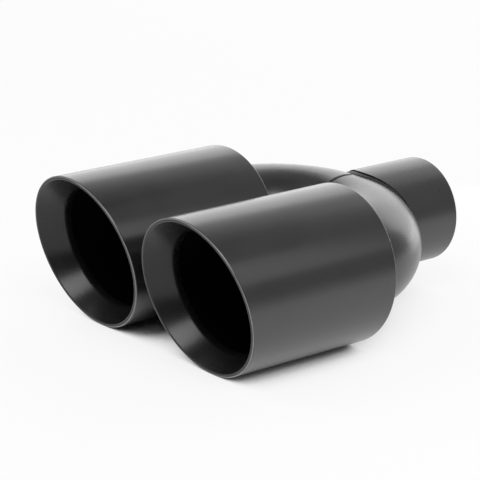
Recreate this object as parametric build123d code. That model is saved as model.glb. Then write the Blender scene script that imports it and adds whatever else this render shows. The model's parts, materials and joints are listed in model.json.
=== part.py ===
from build123d import *
import math
import os

# Twin exhaust tip: two slant-cut sleeves carried by a pair of bent pipes that share one inlet.
# The inlet pipe's open end is centred on the origin and faces +Y, the mouths face -Y, and +Z is up.
# Right is the +X side. Lengths are millimetres and angles are degrees.

# Inlet pipe, which slips over the car's tailpipe
tailpipe_diameter = 63.5
slip_clearance = 0.7
inlet_wall = 2.5
inlet_reach = 70.7
inlet_edge_round = 0.6

# Bent pipes between the inlet and the sleeves
elbow_wall = 1.5
crossover_half = 2.4
stub_reach = 10.0

# Outer sleeves
sleeve_diameter = 100.0
sleeve_wall = 1.2
sleeve_length = 114.4
sleeve_gap = 9.4
mouth_slant = 14.0
mouth_edge_round = 0.9
back_edge_round = 0.8

# Mouth liners
liner_wall = 1.0
liner_seat = 1.0
liner_depth = 16.0
liner_lean = 8.8
liner_throat = 4.0
liner_edge_round = 0.8
liner_bend_round = 7.0

# Back plates
plate_thickness = 1.5
plate_inset = 2.0

# Clearance left between pieces before they are welded
fit_up = 0.05

# Largest share of a wall that an eased edge may take
edge_share = 0.8

# Welds
saddle_gap = 2.8
root_depth = 1.7
seam_width = 3.0
seam_height = 0.45
pipe_weld_leg = 2.0
plate_weld_leg = 1.5
crown_share = 0.58

# Sizes and places that follow from those above
bore_radius = (tailpipe_diameter + slip_clearance) / 2
pipe_radius = bore_radius + inlet_wall
sleeve_radius = sleeve_diameter / 2
sleeve_bore = sleeve_radius - sleeve_wall
tip_x = (sleeve_diameter + sleeve_gap) / 2
bend_radius = tip_x - crossover_half
crossover_y = -inlet_reach
sleeve_back_y = crossover_y - bend_radius
mouth_y = sleeve_back_y - sleeve_length
plate_back_y = sleeve_back_y - plate_inset
plate_front_y = plate_back_y - plate_thickness
stub_y = plate_front_y - stub_reach
root_radius = bore_radius + root_depth


def across(x, y):
    """Plane square to the Y axis, facing +Y, with its origin at the given place."""
    return Plane(origin=(x, y, 0), x_dir=(1, 0, 0), z_dir=(0, 1, 0))


def tube(x, start_y, end_y, outer, inner):
    """Straight tube along Y."""
    ring = Circle(outer) - Circle(inner)
    return extrude(across(x, start_y) * ring, amount=end_y - start_y)


def slanted(y):
    """Plane parallel to the right mouth, crossing the sleeve's axis at the given place."""
    tilt = math.radians(mouth_slant)
    return Plane(origin=(tip_x, y, 0), x_dir=(1, 0, 0), z_dir=(0, -math.cos(tilt), -math.sin(tilt)))


def slanted_section(y, radius):
    """Where a round bar of this radius on the sleeve's axis meets a plane parallel to the mouth."""
    return slanted(y) * Ellipse(radius, radius / math.cos(math.radians(mouth_slant)))


def pipe_run(radius):
    """Solid bar along the right elbow's centre line, from inside the sleeve to the middle plane."""
    stub = Line((tip_x, stub_y, 0), (tip_x, sleeve_back_y, 0))
    bend = CenterArc((crossover_half, sleeve_back_y, 0), bend_radius, 0, 90)
    crossover = Line((crossover_half, crossover_y, 0), (0, crossover_y, 0))
    return sweep(across(tip_x, stub_y) * Circle(radius), path=stub + bend + crossover)


def both_runs(radius):
    """The same bar through both elbows, from one sleeve to the other."""
    right = pipe_run(radius)
    return right + mirror(right, about=Plane.YZ)


def outer_sleeve():
    """Thin tube, cut square at the back and slanted at the mouth, with its outer edges eased."""
    longest = sleeve_length + sleeve_diameter
    blank = tube(tip_x, sleeve_back_y - longest, sleeve_back_y, sleeve_radius, sleeve_bore)
    sleeve = split(blank, bisect_by=slanted(mouth_y), keep=Keep.BOTTOM)
    back_edge = sleeve.edges().filter_by(GeomType.CIRCLE).sort_by(SortBy.LENGTH)[-1]
    sleeve = fillet(back_edge, radius=min(back_edge_round, edge_share * sleeve_wall))
    mouth_edge = sleeve.edges().filter_by(GeomType.ELLIPSE).sort_by(SortBy.LENGTH)[-1]
    return fillet(mouth_edge, radius=min(mouth_edge_round, edge_share * sleeve_wall))


def liner_skin(stations):
    """Solid through sections parallel to the mouth, each given by its depth behind it and its radius."""
    return loft([slanted_section(mouth_y + depth, radius) for depth, radius in stations], ruled=True)


def inner_edge(band, depth):
    """Inner one of the liner's two rings at this depth behind the mouth."""
    rings = band.edges().filter_by(GeomType.ELLIPSE)
    nearest = rings.sort_by(lambda ring: abs(ring.arc_center.Y - mouth_y - depth))[:2]
    return nearest.sort_by(SortBy.LENGTH)[0]


def mouth_liner():
    """Funnel seated in the sleeve at the rim, which leans in to a straight throat inside the mouth."""
    outer = sleeve_bore - fit_up
    inner = outer - liner_wall
    end = liner_depth + liner_throat
    lean_end, throat_end = (liner_depth, outer - liner_lean), (end, outer - liner_lean)
    outside = liner_skin([(0, outer), (liner_seat, outer), lean_end, throat_end])
    inside = liner_skin([(0, inner), (liner_depth, inner - liner_lean), (end, inner - liner_lean)])
    band = outside - inside
    band = fillet(inner_edge(band, 0), radius=min(liner_edge_round, edge_share * liner_wall))
    return fillet(inner_edge(band, liner_depth), radius=liner_bend_round)


def back_plate():
    """Flat ring that closes the sleeve round the pipe, a little inside the back edge."""
    return tube(tip_x, plate_front_y, plate_back_y, sleeve_bore - fit_up, pipe_radius + fit_up)


def corner_weld(radius, leg, outward):
    """Fillet bead on the back face of the plate, against a round wall inside or outside it."""
    reach = leg if outward else -leg
    corner = (tip_x + radius, plate_back_y)
    on_plate = (corner[0] + reach, plate_back_y)
    on_wall = (corner[0], plate_back_y + leg)
    crown = (corner[0] + crown_share * reach, plate_back_y + crown_share * leg)
    outline = Line(on_wall, corner) + Line(corner, on_plate) + ThreePointArc(on_plate, crown, on_wall)
    return revolve(make_face(outline), axis=Axis((tip_x, 0, 0), (0, 1, 0)))


def elbow():
    """Bent pipe, cut flat at the middle plane and opened where the inlet pipe joins it."""
    port = extrude(across(0, crossover_y) * Circle(bore_radius), amount=inlet_reach)
    return pipe_run(pipe_radius) - pipe_run(pipe_radius - elbow_wall) - port


def inlet_pipe():
    """Straight pipe whose front end is fish-mouthed to stand off both elbows by the weld gap."""
    blank = tube(0, crossover_y, 0, pipe_radius, bore_radius)
    pipe = blank - both_runs(pipe_radius + saddle_gap)
    open_edge = pipe.edges().filter_by(GeomType.CIRCLE).sort_by(SortBy.LENGTH)[-1]
    return fillet(open_edge, radius=min(inlet_edge_round, edge_share * inlet_wall))


def inlet_weld():
    """Root bead that fills the inner part of the gap between the fish-mouth and the elbows."""
    ring = tube(0, crossover_y, 0, root_radius, bore_radius)
    return (ring & both_runs(pipe_radius + saddle_gap)) - both_runs(pipe_radius)


def seam_weld():
    """Low bead round the joint of the two elbows, which stops short of the inlet's weld."""
    left, right = (-seam_width / 2, pipe_radius), (seam_width / 2, pipe_radius)
    outline = Line(left, right) + ThreePointArc(right, (0, pipe_radius + seam_height), left)
    bead = revolve(make_face(outline), axis=Axis.X).moved(Location((0, crossover_y, 0)))
    stop_y = crossover_y + math.sqrt(pipe_radius**2 - root_radius**2) - fit_up
    return split(bead, bisect_by=across(0, stop_y), keep=Keep.BOTTOM)


def main():
    os.makedirs("parts", exist_ok=True)
    paired = {
        "outer_sleeve": outer_sleeve(),
        "mouth_liner": mouth_liner(),
        "back_plate": back_plate(),
        "elbow": elbow(),
        "pipe_weld": corner_weld(pipe_radius, pipe_weld_leg, outward=True),
        "plate_weld": corner_weld(sleeve_bore, plate_weld_leg, outward=False),
    }
    for name, piece in paired.items():
        export_step(piece, f"parts/right_{name}.step")
        export_step(mirror(piece, about=Plane.YZ), f"parts/left_{name}.step")
    export_step(inlet_pipe(), "parts/inlet_pipe.step")
    export_step(inlet_weld(), "parts/inlet_weld.step")
    export_step(seam_weld(), "parts/elbow_seam_weld.step")


main()
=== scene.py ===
"""Looks of a twin exhaust tip in satin black: skins over the fixed frame, finishes, studio and camera."""

import json
import math

import bpy
import numpy as np
from mathutils import Matrix, Quaternion, Vector


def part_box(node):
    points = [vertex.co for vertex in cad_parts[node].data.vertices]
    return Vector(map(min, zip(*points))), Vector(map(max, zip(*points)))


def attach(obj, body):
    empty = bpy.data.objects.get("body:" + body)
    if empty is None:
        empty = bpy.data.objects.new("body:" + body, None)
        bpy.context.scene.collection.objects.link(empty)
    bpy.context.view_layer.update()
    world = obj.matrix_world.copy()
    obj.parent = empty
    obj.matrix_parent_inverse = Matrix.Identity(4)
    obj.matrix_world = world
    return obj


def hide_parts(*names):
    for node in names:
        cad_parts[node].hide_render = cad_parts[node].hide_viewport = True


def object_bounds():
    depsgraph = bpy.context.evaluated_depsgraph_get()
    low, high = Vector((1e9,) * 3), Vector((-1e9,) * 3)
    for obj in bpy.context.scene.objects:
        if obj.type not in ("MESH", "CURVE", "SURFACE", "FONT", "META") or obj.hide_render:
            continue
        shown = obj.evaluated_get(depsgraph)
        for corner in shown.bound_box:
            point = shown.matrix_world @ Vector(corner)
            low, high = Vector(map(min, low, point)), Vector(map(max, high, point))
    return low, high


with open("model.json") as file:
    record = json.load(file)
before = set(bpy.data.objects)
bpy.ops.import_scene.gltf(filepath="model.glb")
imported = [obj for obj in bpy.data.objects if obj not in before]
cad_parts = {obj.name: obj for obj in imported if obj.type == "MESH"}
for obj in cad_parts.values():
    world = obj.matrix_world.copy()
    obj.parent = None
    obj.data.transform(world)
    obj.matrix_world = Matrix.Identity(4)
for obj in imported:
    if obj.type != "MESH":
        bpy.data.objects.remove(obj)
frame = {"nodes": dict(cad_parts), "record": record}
cad_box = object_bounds()

# Lengths are metres, and small sizes are written in millimetres
MM = 0.001

# Sizes and places read from the frame
SLEEVE_LOW, SLEEVE_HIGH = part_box("right_outer_sleeve")
LINER_LOW, LINER_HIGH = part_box("right_mouth_liner")
PLATE_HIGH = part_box("right_back_plate")[1]
ELBOW_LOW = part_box("right_elbow")[0]
INLET_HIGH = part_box("inlet_pipe")[1]
TIP_X = (SLEEVE_LOW.x + SLEEVE_HIGH.x) / 2
SLEEVE_RADIUS = (SLEEVE_HIGH.x - SLEEVE_LOW.x) / 2
LINER_RADIUS = (LINER_HIGH.x - LINER_LOW.x) / 2
BACK_Y = SLEEVE_HIGH.y
PLATE_BACK_Y = PLATE_HIGH.y
STUB_Y = ELBOW_LOW.y
OPEN_Y = INLET_HIGH.y
PIPE_RADIUS = INLET_HIGH.z
BORE_RADIUS = frame["record"]["mounts"][0]["dims"]["r_mm"] * MM
FLOOR_Z = cad_box[0].z

# Sleeves and mouth liners, as the solids have them
MOUTH_SLOPE = math.tan(math.radians(14.0))
MOUTH_Y = LINER_LOW.y + LINER_RADIUS * MOUTH_SLOPE
SLEEVE_WALL = 1.2 * MM
SLEEVE_BORE = SLEEVE_RADIUS - SLEEVE_WALL
SLEEVE_MOUTH_ROUND = 0.9 * MM
SLEEVE_BACK_ROUND = 0.8 * MM
LINER_WALL = 1.0 * MM
LINER_SEAT = 1.0 * MM
LINER_DEPTH = 16.0 * MM
LINER_LEAN = 8.8 * MM
LINER_THROAT = 4.0 * MM
LINER_MOUTH_ROUND = 0.8 * MM
LINER_BEND_ROUND = 7.0 * MM

# Elbows and inlet, as the solids have them
ELBOW_WALL = 1.5 * MM
ELBOW_BORE = PIPE_RADIUS - ELBOW_WALL
CROSSOVER_HALF = 2.4 * MM
BEND_RADIUS = TIP_X - CROSSOVER_HALF
CROSSOVER_Y = BACK_Y + BEND_RADIUS
INLET_EDGE_ROUND = 0.6 * MM

# Weld beads, as the solids have them
SADDLE_GAP = 2.8 * MM
ROOT_DEPTH = 1.7 * MM
SEAM_WIDTH = 3.0 * MM
SEAM_HEIGHT = 0.45 * MM
PIPE_WELD_LEG = 2.0 * MM
PLATE_WELD_LEG = 1.5 * MM
CROWN_SHARE = 0.58

# Small rounds that the solids leave sharp, and how far the sleeve's lip is drawn back to stay in their box
SEAM_ROUND = 0.2 * MM
EDGE_ROUND = 0.25 * MM
LIP_BACK = 0.06 * MM

# How finely the skins are divided
AROUND_RING = 360
AROUND_PIPE = 240
ARC_STEPS = 8
RUN_STEP = 8.0 * MM
BEND_STATIONS = 72
BEAD_STEPS = 12
RIPPLE_POINTS = 10
SHARP_ANGLE = math.radians(38)

# Points that hold a straight run beside its rounds: how far along they are, and into how many parts they
# divide a run that is too short for that
SUPPORT = 0.35 * MM
SHORT_RUN_PARTS = 3

# Ripples of each weld bead: how many there are, and how high they stand, by share of the bead or as a length
PIPE_WELD_RIPPLES = 96
PLATE_WELD_RIPPLES = 150
INLET_WELD_RIPPLES = 88
SEAM_RIPPLES = 62
LEG_RIPPLE_SHARE = 0.07
SEAM_RIPPLE_SHARE = 0.16
ROOT_RIPPLE = 0.12 * MM

# Unevenness of the ripples: how far they trail across a bead, in radians, the share of a finer second wave,
# how their spacing wanders, as height in radians, waves to a turn and multiple of the seed, and two seeds
RIPPLE_LAG = 2.2
FINE_SHARE = 0.25
WANDER = ((0.6, 3, 1), (0.4, 7, 2))
ROOT_SEED = 1.3
SEAM_SEED = 0.4

# Root bead: its crown and the share of that which is sunk, and how much fuller it is at the inlet's sides,
# from one share of the inlet's half width to another
ROOT_CROWN = 0.5 * MM
CROWN_SUNK = 0.7
ROOT_FILL = 0.6 * MM
FILL_START = 0.3
FILL_END = 0.7

# How far beads are sunk in what they join, and over which angle the seam's ends run out, in radians
BEAD_SUNK = 0.15 * MM
SEAM_FADE = 0.05

# Wear and painted highlight: a paler grey on rounded edges, partly wear of the coat and partly a painted
# highlight; the layer that says how strong it is, the paler colour, and how strong it is on each kind of
# edge
WEAR_AND_HIGHLIGHT_LAYER = "wear"
WORN_AND_HIGHLIGHT_COLOUR = (0.30, 0.30, 0.30, 1)
MOUTH_WEAR_AND_HIGHLIGHT = 1.0
BACK_WEAR_AND_HIGHLIGHT = 0.5
INLET_WEAR_AND_HIGHLIGHT = 0.4

# Wear and painted highlight across a rounded edge: how far its peak lies past the middle, and how narrow it
# is
WEAR_AND_HIGHLIGHT_LEAN = 1.5
WEAR_AND_HIGHLIGHT_SHARPNESS = 4

# Coats: darkest and palest grey, roughness, index of refraction, grains to a metre and their depth
SLEEVE_COAT = (0.008, 0.012, 0.24, 1.8, 900.0, 0.004 * MM)
LINER_COAT = (0.006, 0.010, 0.27, 1.48, 900.0, 0.004 * MM)
PIPE_COAT = (0.008, 0.013, 0.28, 1.8, 700.0, 0.006 * MM)
WELD_COAT = (0.006, 0.016, 0.50, 1.45, 1500.0, 0.015 * MM)
# The insides take a near-black, dull coat, darker than the outer ones: painted shade inside the tubes
INNER_SHADE_COAT = (0.001, 0.002, 0.60, 1.25, 600.0, 0.010 * MM)
ROUGHNESS_SPREAD = 0.04

# Noise in the coats: patches to a metre, detail and roughness of the clouds and the patches of wear and
# painted highlight, detail and roughness of the grain, the range that most of a noise lies in, and the least
# share of the wear and painted highlight that shows
CLOUDS = (45.0, 6.0, 0.6)
WORN_AND_LIT_PATCHES = (160.0, 4.0, 0.6)
GRAIN_FORM = (3.0, 0.5)
NOISE_RANGE = (0.3, 0.7)
LEAST_WORN_AND_LIT = 0.6

# Floor: its size, its colour, and the share of it that shows as white light
FLOOR_HALF = 6.0
FLOOR_COLOUR = (0.92, 0.92, 0.92, 1)
FLOOR_ROUGHNESS = 0.9
FLOOR_WHITE_SHARE = 0.85

# How that light falls off under the object: open share of the sky above a place, and the light shown there
SHADOW_REACH = 0.4
SHADOW_SAMPLES = 16
SHADOW_FALL = [
    (0.0, 0.0), (0.06, 0.0), (0.13, 0.13), (0.185, 0.50), (0.245, 0.76),
    (0.29, 0.87), (0.35, 0.94), (0.5, 0.99), (1.0, 1.0),
]

# How the floor's light fades to the right in what mirrors it: from one distance to another, down to a share
FADE_START = 0.28
FADE_END = 0.6
FADED_SHARE = 0.55

# Studio: the even surroundings, and softboxes as azimuth from the front towards +X, elevation, distance,
# width, height and how much brighter than the surroundings each one is
WORLD_LEVEL = 0.13
LIGHT_AIM = Vector((0, -0.12, 0))
SOFTBOXES = {
    "back_wall": (150, 28, 2.0, 3.4, 2.2, 0.25),
    "back_left": (-150, 17, 2.0, 2.8, 1.42, 1.72),
    "back_left_high": (-150, 43, 2.0, 2.0, 0.62, 0.55),
    "left_top": (-130, 62, 2.0, 2.0, 0.6, 0.15),
    "overhead": (0, 86, 2.0, 2.2, 2.2, 0.1),
    "key": (57, 51, 2.0, 1.6, 1.1, 4.8),
    "right": (121, 33, 0.8, 0.28, 0.36, 0.55),
    "low_strip": (-176, -1.5, 0.33, 0.22, 0.08, 0.9),
    "front_fill": (-40, 40, 2.0, 2.0, 1.6, 1.2),
}

# Camera: where it looks, from which direction and how far, and how its picture is turned
CAMERA_AIM = Vector((0.0086, -0.1650, 0.0107))
CAMERA_AZIMUTH = 49.35
CAMERA_ELEVATION = 17.47
CAMERA_DISTANCE = 1.358
CAMERA_ROLL = 1.27
CAMERA_LENS = 164.94
CAMERA_SENSOR = 36.0


def add_node(material, kind, **inputs):
    """New shader node with its inputs set by name."""
    node = material.node_tree.nodes.new(kind)
    for name, value in inputs.items():
        node.inputs[name.replace("_", " ")].default_value = value
    return node


def add_math(material, operation, first, second):
    """Result of working on two sockets, or on a socket and a number."""
    node = add_node(material, "ShaderNodeMath")
    node.operation = operation
    for socket, value in zip(node.inputs, (first, second)):
        if isinstance(value, float):
            socket.default_value = value
        else:
            material.node_tree.links.new(value, socket)
    return node.outputs["Value"]


def add_noise(material, place, scale, detail, roughness):
    """Noise over the surface, between nought and one."""
    node = add_node(material, "ShaderNodeTexNoise", Scale=scale, Detail=detail, Roughness=roughness)
    material.node_tree.links.new(place, node.inputs["Vector"])
    return node.outputs["Fac"]


def map_range(material, value, old, new):
    """Value carried over from one range to another and held there."""
    ends = {"From_Min": old[0], "From_Max": old[1], "To_Min": new[0], "To_Max": new[1]}
    node = add_node(material, "ShaderNodeMapRange", **ends)
    material.node_tree.links.new(value, node.inputs["Value"])
    return node.outputs["Result"]


def grey_ramp(material, value, stops):
    """Grey that follows a value through stops, each a place on the ramp and its grey."""
    node = add_node(material, "ShaderNodeValToRGB")
    elements = node.color_ramp.elements
    while len(elements) < len(stops):
        elements.new(1.0)
    for element, (position, grey) in zip(elements, stops):
        element.position = position
        element.color = (grey, grey, grey, 1)
    material.node_tree.links.new(value, node.inputs["Fac"])
    return node.outputs["Color"]


def coating(name, dark, light, roughness, ior, grain, depth):
    """Satin coat with uneven colour and gloss and a fine skin of bumps, paler on rounded edges as wear and
    painted highlight.
    """
    material = bpy.data.materials.new(name)
    material.use_nodes = True
    links = material.node_tree.links
    shader = material.node_tree.nodes["Principled BSDF"]
    shader.inputs["IOR"].default_value = ior
    place = add_node(material, "ShaderNodeTexCoord").outputs["Object"]
    clouds = add_noise(material, place, *CLOUDS)
    patches = add_noise(material, place, *WORN_AND_LIT_PATCHES)
    peel = add_noise(material, place, grain, *GRAIN_FORM)
    links.new(worn_and_lit_colour(material, clouds, patches, dark, light), shader.inputs["Base Color"])
    spread = (roughness - ROUGHNESS_SPREAD, roughness + ROUGHNESS_SPREAD)
    links.new(map_range(material, clouds, (0.0, 1.0), spread), shader.inputs["Roughness"])
    bump = add_node(material, "ShaderNodeBump", Strength=1.0, Distance=depth)
    links.new(peel, bump.inputs["Height"])
    links.new(bump.outputs["Normal"], shader.inputs["Normal"])
    return material


def worn_and_lit_colour(material, clouds, patches, dark, light):
    """Clouded grey that gives way to a paler grey in patches where the layer says so, partly wear and partly
    painted highlight.
    """
    links = material.node_tree.links
    tone = grey_ramp(material, clouds, list(zip(NOISE_RANGE, (dark, light))))
    worn_and_lit = add_node(material, "ShaderNodeAttribute")
    worn_and_lit.attribute_name = WEAR_AND_HIGHLIGHT_LAYER
    uneven = map_range(material, patches, NOISE_RANGE, (LEAST_WORN_AND_LIT, 1.0))
    bared_and_lit = add_math(material, "MULTIPLY", worn_and_lit.outputs["Fac"], uneven)
    colour = add_node(material, "ShaderNodeMix")
    colour.data_type = "RGBA"
    links.new(bared_and_lit, colour.inputs["Factor"])
    links.new(tone, colour.inputs["A"])
    colour.inputs["B"].default_value = WORN_AND_HIGHLIGHT_COLOUR
    return colour.outputs["Result"]


def grid_faces(rows, columns, close_rows=True):
    """Quads of a grid of points whose columns join up, and whose rows do too if asked."""
    faces = []
    for i in range(rows if close_rows else rows - 1):
        here, below = i * columns, (i + 1) % rows * columns
        for j in range(columns):
            right = (j + 1) % columns
            faces.append((here + j, here + right, below + right, below + j))
    return faces


def capped_faces(rows, columns):
    """Quads of a grid whose rows don't join up, and a face over each of its two ends."""
    last = (rows - 1) * columns
    ends = [tuple(range(columns)), tuple(reversed(range(last, last + columns)))]
    return grid_faces(rows, columns, close_rows=False) + ends


def signed_volume(mesh):
    """Volume that the faces enclose, negative if they face inwards."""
    mesh.calc_loop_triangles()
    total = 0.0
    for triangle in mesh.loop_triangles:
        a, b, c = (mesh.vertices[v].co for v in triangle.vertices)
        total += a.dot(b.cross(c)) / 6
    return total


def smooth(mesh):
    """Shades a mesh smooth but for its sharp edges."""
    mesh.polygons.foreach_set("use_smooth", [True] * len(mesh.polygons))
    mesh.set_sharp_from_angle(angle=SHARP_ANGLE)


def make_object(name, points, faces):
    """New smooth object from points and faces, with its faces turned outwards."""
    mesh = bpy.data.meshes.new(name)
    mesh.from_pydata([tuple(p) for p in points], [], faces)
    if signed_volume(mesh) < 0:
        mesh.flip_normals()
    smooth(mesh)
    obj = bpy.data.objects.new(name, mesh)
    bpy.context.scene.collection.objects.link(obj)
    return obj


def coat(obj, materials, second, rows):
    """Gives an object its finishes; second says which columns of its grid of faces take the second one."""
    for material in materials:
        obj.data.materials.append(material)
    obj.data.polygons.foreach_set("material_index", np.tile(np.array(second, dtype=np.int32), rows))


def full_turn(count):
    """Even angles round a full turn."""
    return np.arange(count) * 2 * math.pi / count


def towards(value, start, end):
    """Share of the way from start to end, held between nought and one."""
    return np.clip((value - start) / (end - start), 0, 1)


def rounded(corners):
    """Closed outline through (radius, y, round, wear and painted highlight) corners, as rows of radius, y
    and wear and painted highlight.
    """
    count = len(corners)
    arcs = [round_off(corners[i - 1], corners[i], corners[(i + 1) % count]) for i in range(count)]
    outline = []
    for arc, following in zip(arcs, arcs[1:] + arcs[:1]):
        outline += arc
        start, end = np.array(arc[-1]), np.array(following[0])
        run = math.dist(start[:2], end[:2])
        support = min(SUPPORT, run / SHORT_RUN_PARTS)
        pieces = max(1, round((run - 2 * support) / RUN_STEP))
        for k in range(pieces + 1):
            share = (support + (run - 2 * support) * k / pieces) / run
            outline.append(tuple(start + (end - start) * share))
    return np.array(outline)


def round_off(last, corner, following):
    """Arc that rounds one corner of an outline, with the wear and painted highlight at each of its points.
    """
    radius, y, rounding, wear = corner
    here = Vector((radius, y))
    to_last = (Vector(last[:2]) - here).normalized()
    to_next = (Vector(following[:2]) - here).normalized()
    half = to_last.angle(to_next) / 2
    reach = rounding / math.tan(half)
    centre = here + (to_last + to_next).normalized() * rounding / math.sin(half)
    start, end = here + to_last * reach - centre, here + to_next * reach - centre
    turn = math.pi - 2 * half
    arc = []
    for step in range(ARC_STEPS + 1):
        share = step / ARC_STEPS
        spoke = (math.sin((1 - share) * turn) * start + math.sin(share * turn) * end) / math.sin(turn)
        # Peak of the paler grey across the round: partly wear, partly painted highlight
        worn_and_lit = wear * math.sin(math.pi * share**WEAR_AND_HIGHLIGHT_LEAN) ** WEAR_AND_HIGHLIGHT_SHARPNESS
        arc.append((*(centre + spoke), worn_and_lit))
    return arc


def ring_object(name, outline, centre_x, shift, materials, lined_radius=0.0):
    """Skin made by carrying an outline round a Y axis.

    The shift gives each point's move along Y, and faces up to the lined radius take the second finish.
    """
    angle = full_turn(AROUND_RING)
    radius, y = outline[:, 0][None, :], outline[:, 1][None, :]
    x = radius * np.sin(angle)[:, None]
    z = radius * np.cos(angle)[:, None]
    moved = np.broadcast_to(y, x.shape) + shift(x, y, z)
    points = np.stack([centre_x + x, moved, z], axis=-1).reshape(-1, 3)
    obj = make_object(name, points, grid_faces(AROUND_RING, len(outline)))
    lined = np.maximum(outline[:, 0], np.roll(outline[:, 0], -1)) <= lined_radius + EDGE_ROUND / 2
    coat(obj, materials, lined, AROUND_RING)
    # Layer for the paler grey on rounded edges: partly wear, partly painted highlight
    layer = obj.data.attributes.new(WEAR_AND_HIGHLIGHT_LAYER, "FLOAT", "POINT")
    layer.data.foreach_set("value", np.tile(outline[:, 2], AROUND_RING).astype(np.float32))
    return obj


def outer_sleeve(materials):
    """Thin tube, square at the back and slanted at the mouth, with a rounded lip."""
    lip_y = MOUTH_Y + LIP_BACK
    outline = rounded([
        (SLEEVE_RADIUS, BACK_Y, SLEEVE_BACK_ROUND, BACK_WEAR_AND_HIGHLIGHT),
        (SLEEVE_RADIUS, lip_y, SLEEVE_MOUTH_ROUND, MOUTH_WEAR_AND_HIGHLIGHT),
        (SLEEVE_BORE, lip_y, SEAM_ROUND, 0),
        (SLEEVE_BORE, BACK_Y, EDGE_ROUND, 0),
    ])

    def slant(x, y, z):
        return -z * MOUTH_SLOPE * towards(y, BACK_Y, lip_y)

    return ring_object("right_sleeve_skin", outline, TIP_X, slant, materials, SLEEVE_BORE)


def mouth_liner(materials):
    """Funnel inside the mouth, which leans in from the lip to a straight throat."""
    outer, inner = LINER_RADIUS, LINER_RADIUS - LINER_WALL
    seat_y, bend_y = MOUTH_Y + LINER_SEAT, MOUTH_Y + LINER_DEPTH
    end_y = bend_y + LINER_THROAT
    outline = rounded([
        (outer, MOUTH_Y, SEAM_ROUND, 0),
        (inner, MOUTH_Y, LINER_MOUTH_ROUND, 0),
        (inner - LINER_LEAN, bend_y, LINER_BEND_ROUND, 0),
        (inner - LINER_LEAN, end_y, EDGE_ROUND, 0),
        (outer - LINER_LEAN, end_y, EDGE_ROUND, 0),
        (outer - LINER_LEAN, bend_y, LINER_BEND_ROUND, 0),
        (outer, seat_y, EDGE_ROUND, 0),
    ])

    def slant(x, y, z):
        return -z * MOUTH_SLOPE

    return ring_object("right_liner_skin", outline, TIP_X, slant, materials)


def elbow_station(distance):
    """Centre and outward direction of the right elbow's line, this far from its end in the sleeve."""
    straight = BACK_Y - STUB_Y
    bend = BEND_RADIUS * math.pi / 2
    if distance < straight:
        return Vector((TIP_X, STUB_Y + distance, 0)), Vector((1, 0, 0))
    if distance < straight + bend:
        angle = (distance - straight) / BEND_RADIUS
        outward = Vector((math.cos(angle), math.sin(angle), 0))
        return Vector((CROSSOVER_HALF, BACK_Y, 0)) + BEND_RADIUS * outward, outward
    return Vector((CROSSOVER_HALF - (distance - straight - bend), CROSSOVER_Y, 0)), Vector((0, 1, 0))


def elbow(materials):
    """Bent pipe from inside the sleeve to the middle plane, opened where the inlet joins it."""
    length = BACK_Y - STUB_Y + BEND_RADIUS * math.pi / 2 + CROSSOVER_HALF
    stations = [length * k / BEND_STATIONS for k in range(BEND_STATIONS + 1)]
    run = [(s, PIPE_RADIUS) for s in stations] + [(s, ELBOW_BORE) for s in reversed(stations)]
    points = []
    for angle in full_turn(AROUND_PIPE):
        for distance, radius in run:
            centre, outward = elbow_station(distance)
            spoke = math.cos(angle) * outward + math.sin(angle) * Vector((0, 0, 1))
            points.append(centre + radius * spoke)
    pipe = make_object("right_elbow_skin", points, grid_faces(AROUND_PIPE, len(run)))
    coat(pipe, materials, [radius < PIPE_RADIUS for distance, radius in run], AROUND_PIPE)
    cut_port(pipe)
    return pipe


def cut_port(pipe):
    """Takes the inlet's bore out of the elbow."""
    half_step = math.pi / AROUND_PIPE
    points = []
    for y in (CROSSOVER_Y, OPEN_Y):
        for angle in full_turn(AROUND_PIPE) + half_step:
            points.append((BORE_RADIUS * math.sin(angle), y, BORE_RADIUS * math.cos(angle)))
    bore = make_object("port_cutter", points, capped_faces(2, AROUND_PIPE))
    cut = pipe.modifiers.new("port", "BOOLEAN")
    cut.object = bore
    cut.operation = "DIFFERENCE"
    cut.solver = "EXACT"
    evaluated = pipe.evaluated_get(bpy.context.evaluated_depsgraph_get())
    pipe.data = bpy.data.meshes.new_from_object(evaluated)
    pipe.modifiers.clear()
    bpy.data.objects.remove(bore)
    smooth(pipe.data)


def saddle_y(x, z, stand_off):
    """Where a line along Y through (x, z) meets a skin at this distance outside the two elbows."""
    reach = np.sqrt((PIPE_RADIUS + stand_off) ** 2 - z**2)
    aside = np.maximum(np.abs(x) - CROSSOVER_HALF, 0)
    return BACK_Y + np.sqrt((BEND_RADIUS + reach) ** 2 - aside**2)


def inlet_pipe(materials):
    """Straight pipe with a square open end, fish-mouthed to stand off the elbows by the weld gap."""
    front_y = CROSSOVER_Y + PIPE_RADIUS
    outline = rounded([
        (PIPE_RADIUS, OPEN_Y, INLET_EDGE_ROUND, INLET_WEAR_AND_HIGHLIGHT),
        (PIPE_RADIUS, front_y, EDGE_ROUND, 0),
        (BORE_RADIUS, front_y, EDGE_ROUND, 0),
        (BORE_RADIUS, OPEN_Y, EDGE_ROUND, 0),
    ])

    def fish_mouth(x, y, z):
        return (saddle_y(x, z, SADDLE_GAP) - front_y) * towards(y, OPEN_Y, front_y)

    return ring_object("inlet_skin", outline, 0, fish_mouth, materials, BORE_RADIUS)


def ripple(angle, across, count, seed):
    """Uneven ripples of a weld laid by hand, which trail across the bead, between -1 and 1."""
    wander = sum(height * np.sin(waves * angle + seeds * seed) for height, waves, seeds in WANDER)
    phase = count * angle + RIPPLE_LAG * across + wander
    return (1 - FINE_SHARE) * np.sin(phase) + FINE_SHARE * np.sin(2 * phase + seed)


def bead_object(name, points, faces, material):
    """Weld bead from its points, given station by station."""
    bead = make_object(name, points.reshape(-1, 3), faces)
    bead.data.materials.append(material)
    return bead


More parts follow.
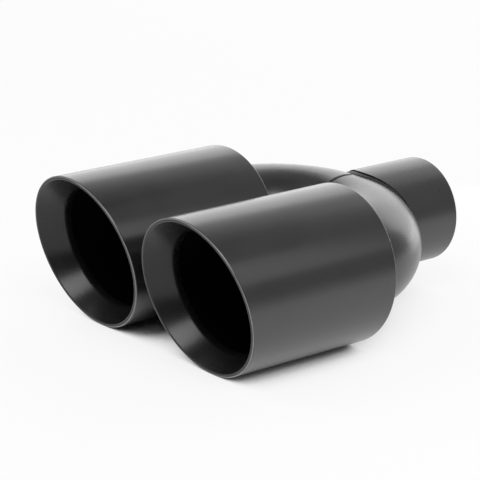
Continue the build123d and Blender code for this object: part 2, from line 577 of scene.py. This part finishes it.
def corner_weld(name, material, radius, leg, side, count):
    """Rippled fillet bead on the plate's back face, outside a round wall if side is 1 and inside if -1."""
    stations = count * RIPPLE_POINTS
    angle = full_turn(stations)
    seed = radius / MM
    fullness = math.log(CROWN_SHARE) / math.log(math.cos(math.pi / 4))
    section = []
    for k in range(BEAD_STEPS + 1):
        turn = math.pi / 2 * k / BEAD_STEPS
        swell = 1 + LEG_RIPPLE_SHARE * ripple(angle, k / BEAD_STEPS, count, seed) * math.sin(2 * turn)
        out = leg * max(math.cos(turn), 0) ** fullness * swell
        up = leg * math.sin(turn) ** fullness * swell
        section.append((out, up))
    section += [(-BEAD_SUNK, leg), (-BEAD_SUNK, -BEAD_SUNK), (leg, -BEAD_SUNK)]
    points = np.empty((stations, len(section), 3))
    for j, (out, up) in enumerate(section):
        points[:, j, 0] = TIP_X + (radius + side * out) * np.sin(angle)
        points[:, j, 1] = PLATE_BACK_Y + up
        points[:, j, 2] = (radius + side * out) * np.cos(angle)
    return bead_object(name, points, grid_faces(stations, len(section)), material)


def pipe_weld(material):
    """Bead between the back plate and the elbow."""
    return corner_weld(
        "right_pipe_weld_skin", material, PIPE_RADIUS, PIPE_WELD_LEG, side=1, count=PIPE_WELD_RIPPLES
    )


def plate_weld(material):
    """Bead between the back plate and the sleeve."""
    return corner_weld(
        "right_plate_weld_skin", material, SLEEVE_BORE, PLATE_WELD_LEG, side=-1, count=PLATE_WELD_RIPPLES
    )


def inlet_weld(material):
    """Rippled root bead, sunk in the gap between the fish-mouth and the elbows."""
    stations = INLET_WELD_RIPPLES * RIPPLE_POINTS
    angle = full_turn(stations)
    bottom = np.full(stations, BORE_RADIUS)
    fill = ROOT_FILL * towards(np.abs(np.sin(angle)), FILL_START, FILL_END)
    section = [(0, bottom), (1, bottom)]
    for k in range(BEAD_STEPS + 1):
        share = 1 - k / BEAD_STEPS
        swell = 4 * share * (1 - share)
        rise = ROOT_DEPTH + fill + ROOT_CROWN * (swell - CROWN_SUNK)
        rise = rise + ROOT_RIPPLE * swell * ripple(angle, share, INLET_WELD_RIPPLES, ROOT_SEED)
        section.append((share, BORE_RADIUS + rise))
    points = np.empty((stations, len(section), 3))
    for j, (share, radius) in enumerate(section):
        x, z = radius * np.sin(angle), radius * np.cos(angle)
        points[:, j] = np.stack([x, saddle_y(x, z, SADDLE_GAP * share), z], axis=-1)
    return bead_object("inlet_weld_skin", points, grid_faces(stations, len(section)), material)


def seam_weld(material):
    """Low rippled bead where the two elbows meet, from the inlet's weld round the front and back to it."""
    start = math.acos((BORE_RADIUS + ROOT_DEPTH) / PIPE_RADIUS)
    stations = SEAM_RIPPLES * RIPPLE_POINTS
    angle = np.linspace(-start, math.pi + start, stations)
    fade = np.clip(np.minimum(angle - angle[0], angle[-1] - angle) / SEAM_FADE, 0, 1)
    section = [(1, -BEAD_SUNK), (-1, -BEAD_SUNK)]
    for k in range(BEAD_STEPS + 1):
        share = 2 * k / BEAD_STEPS - 1
        rough = 1 + SEAM_RIPPLE_SHARE * ripple(angle, abs(share), SEAM_RIPPLES, SEAM_SEED)
        section.append((share, SEAM_HEIGHT * (1 - share**2) * fade * rough))
    points = np.empty((stations, len(section), 3))
    for j, (share, rise) in enumerate(section):
        points[:, j, 0] = share * SEAM_WIDTH / 2
        points[:, j, 1] = CROSSOVER_Y - (PIPE_RADIUS + rise) * np.sin(angle)
        points[:, j, 2] = (PIPE_RADIUS + rise) * np.cos(angle)
    return bead_object("seam_weld_skin", points, capped_faces(stations, len(section)), material)


def mirrored(obj):
    """The same piece for the left side."""
    mesh = obj.data.copy()
    mesh.transform(Matrix.Scale(-1, 4, (1, 0, 0)))
    mesh.flip_normals()
    other = bpy.data.objects.new(obj.name.replace("right", "left"), mesh)
    bpy.context.scene.collection.objects.link(other)
    return other


def seat(obj, node):
    """Sets a piece on the frame and hides the solid it stands for."""
    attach(obj, "root")
    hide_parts(node)


def build_pieces():
    """Every piece of the object, the right side's copied to the left."""
    sleeve_coat = coating("sleeve_coat", *SLEEVE_COAT)
    liner_coat = coating("liner_coat", *LINER_COAT)
    pipe_coat = coating("pipe_coat", *PIPE_COAT)
    weld_coat = coating("weld_coat", *WELD_COAT)
    # Near-black coat for the insides of the tubes: painted shade
    inner_shade_coat = coating("inner_shade_coat", *INNER_SHADE_COAT)
    paired = [
        (outer_sleeve([sleeve_coat, inner_shade_coat]), "outer_sleeve", "sleeve_coating"),
        (mouth_liner([liner_coat]), "mouth_liner", "liner_coating"),
        (elbow([pipe_coat, inner_shade_coat]), "elbow", "pipe_coating"),
        (pipe_weld(weld_coat), "pipe_weld", "weld_coating"),
        (plate_weld(weld_coat), "plate_weld", "weld_coating"),
    ]
    for piece, node, slot in paired:
        seat(mirrored(piece), "left_" + node)
        seat(piece, "right_" + node)
    seat(inlet_pipe([pipe_coat, inner_shade_coat]), "inlet_pipe")
    seat(inlet_weld(weld_coat), "inlet_weld")
    seat(seam_weld(weld_coat), "elbow_seam_weld")
    for node in ("right_back_plate", "left_back_plate"):
        plate = frame["nodes"][node]
        plate.data.materials.clear()
        plate.data.materials.append(pipe_coat)


def build_floor():
    """Wide white floor that the sleeves lie on."""
    mesh = bpy.data.meshes.new("floor")
    corners = [(-1, -1), (1, -1), (1, 1), (-1, 1)]
    mesh.from_pydata([(x * FLOOR_HALF, y * FLOOR_HALF, FLOOR_Z) for x, y in corners], [], [(0, 1, 2, 3)])
    floor = bpy.data.objects.new("floor", mesh)
    bpy.context.scene.collection.objects.link(floor)
    mesh.materials.append(floor_material())


def floor_material():
    """Matt white that keeps the shadow; seen directly or mirrored it is mostly its own white light."""
    material = bpy.data.materials.new("floor_white")
    material.use_nodes = True
    links = material.node_tree.links
    shader = material.node_tree.nodes["Principled BSDF"]
    shader.inputs["Base Color"].default_value = FLOOR_COLOUR
    shader.inputs["Roughness"].default_value = FLOOR_ROUGHNESS
    shader.inputs["Specular IOR Level"].default_value = 0.0
    rays = add_node(material, "ShaderNodeLightPath").outputs
    seen = add_math(material, "MAXIMUM", rays["Is Camera Ray"], rays["Is Glossy Ray"])
    seen = add_math(material, "MAXIMUM", seen, rays["Is Transmission Ray"])
    mix = add_node(material, "ShaderNodeMixShader")
    links.new(add_math(material, "MULTIPLY", seen, FLOOR_WHITE_SHARE), mix.inputs["Fac"])
    links.new(shader.outputs["BSDF"], mix.inputs[1])
    links.new(floor_light(material, rays["Is Camera Ray"]), mix.inputs[2])
    links.new(mix.outputs["Shader"], material.node_tree.nodes["Material Output"].inputs["Surface"])
    return material


def floor_light(material, seen_directly):
    """White light that falls off close under the object, and to the right where it is only mirrored."""
    links = material.node_tree.links
    open_sky = add_node(material, "ShaderNodeAmbientOcclusion", Distance=SHADOW_REACH)
    open_sky.samples = SHADOW_SAMPLES
    place = add_node(material, "ShaderNodeSeparateXYZ")
    links.new(add_node(material, "ShaderNodeTexCoord").outputs["Object"], place.inputs["Vector"])
    fade = map_range(material, place.outputs["X"], (FADE_START, FADE_END), (1.0, FADED_SHARE))
    glow = add_node(material, "ShaderNodeEmission")
    links.new(grey_ramp(material, open_sky.outputs["AO"], SHADOW_FALL), glow.inputs["Color"])
    links.new(add_math(material, "MAXIMUM", fade, seen_directly), glow.inputs["Strength"])
    return glow.outputs["Emission"]


def heading(azimuth, elevation):
    """Direction from the object, by degrees round from the front and up from the floor."""
    turn, rise = math.radians(azimuth), math.radians(elevation)
    return Vector((math.sin(turn) * math.cos(rise), -math.cos(turn) * math.cos(rise), math.sin(rise)))


def softbox(name, azimuth, elevation, distance, width, height, brightness):
    """Rectangular lamp that faces the object, unseen by the camera."""
    lamp = bpy.data.lights.new(name, "AREA")
    lamp.shape = "RECTANGLE"
    lamp.size = width
    lamp.size_y = height
    lamp.energy = brightness * math.pi * width * height
    obj = bpy.data.objects.new(name, lamp)
    towards_lamp = heading(azimuth, elevation)
    obj.location = LIGHT_AIM + distance * towards_lamp
    obj.rotation_mode = "QUATERNION"
    obj.rotation_quaternion = (-towards_lamp).to_track_quat("-Z", "Y")
    obj.visible_camera = False
    bpy.context.scene.collection.objects.link(obj)


def build_light():
    """Even grey surroundings with softboxes round the object."""
    world = bpy.data.worlds.new("studio")
    world.use_nodes = True
    back = world.node_tree.nodes["Background"]
    back.inputs["Color"].default_value = (1, 1, 1, 1)
    back.inputs["Strength"].default_value = WORLD_LEVEL
    bpy.context.scene.world = world
    for name, values in SOFTBOXES.items():
        softbox(name, *values)


def build_camera():
    """Long lens from the right front, a little above the mouths."""
    camera = bpy.data.cameras.new("camera")
    camera.lens = CAMERA_LENS
    camera.sensor_width = CAMERA_SENSOR
    obj = bpy.data.objects.new("camera", camera)
    back = heading(CAMERA_AZIMUTH, CAMERA_ELEVATION)
    obj.location = CAMERA_AIM + CAMERA_DISTANCE * back
    obj.rotation_mode = "QUATERNION"
    level = (-back).to_track_quat("-Z", "Y")
    obj.rotation_quaternion = level @ Quaternion((0, 0, 1), math.radians(CAMERA_ROLL))
    bpy.context.scene.collection.objects.link(obj)
    bpy.context.scene.camera = obj


build_pieces()
build_floor()
build_light()
build_camera()
bpy.context.scene.view_settings.view_transform = "Standard"
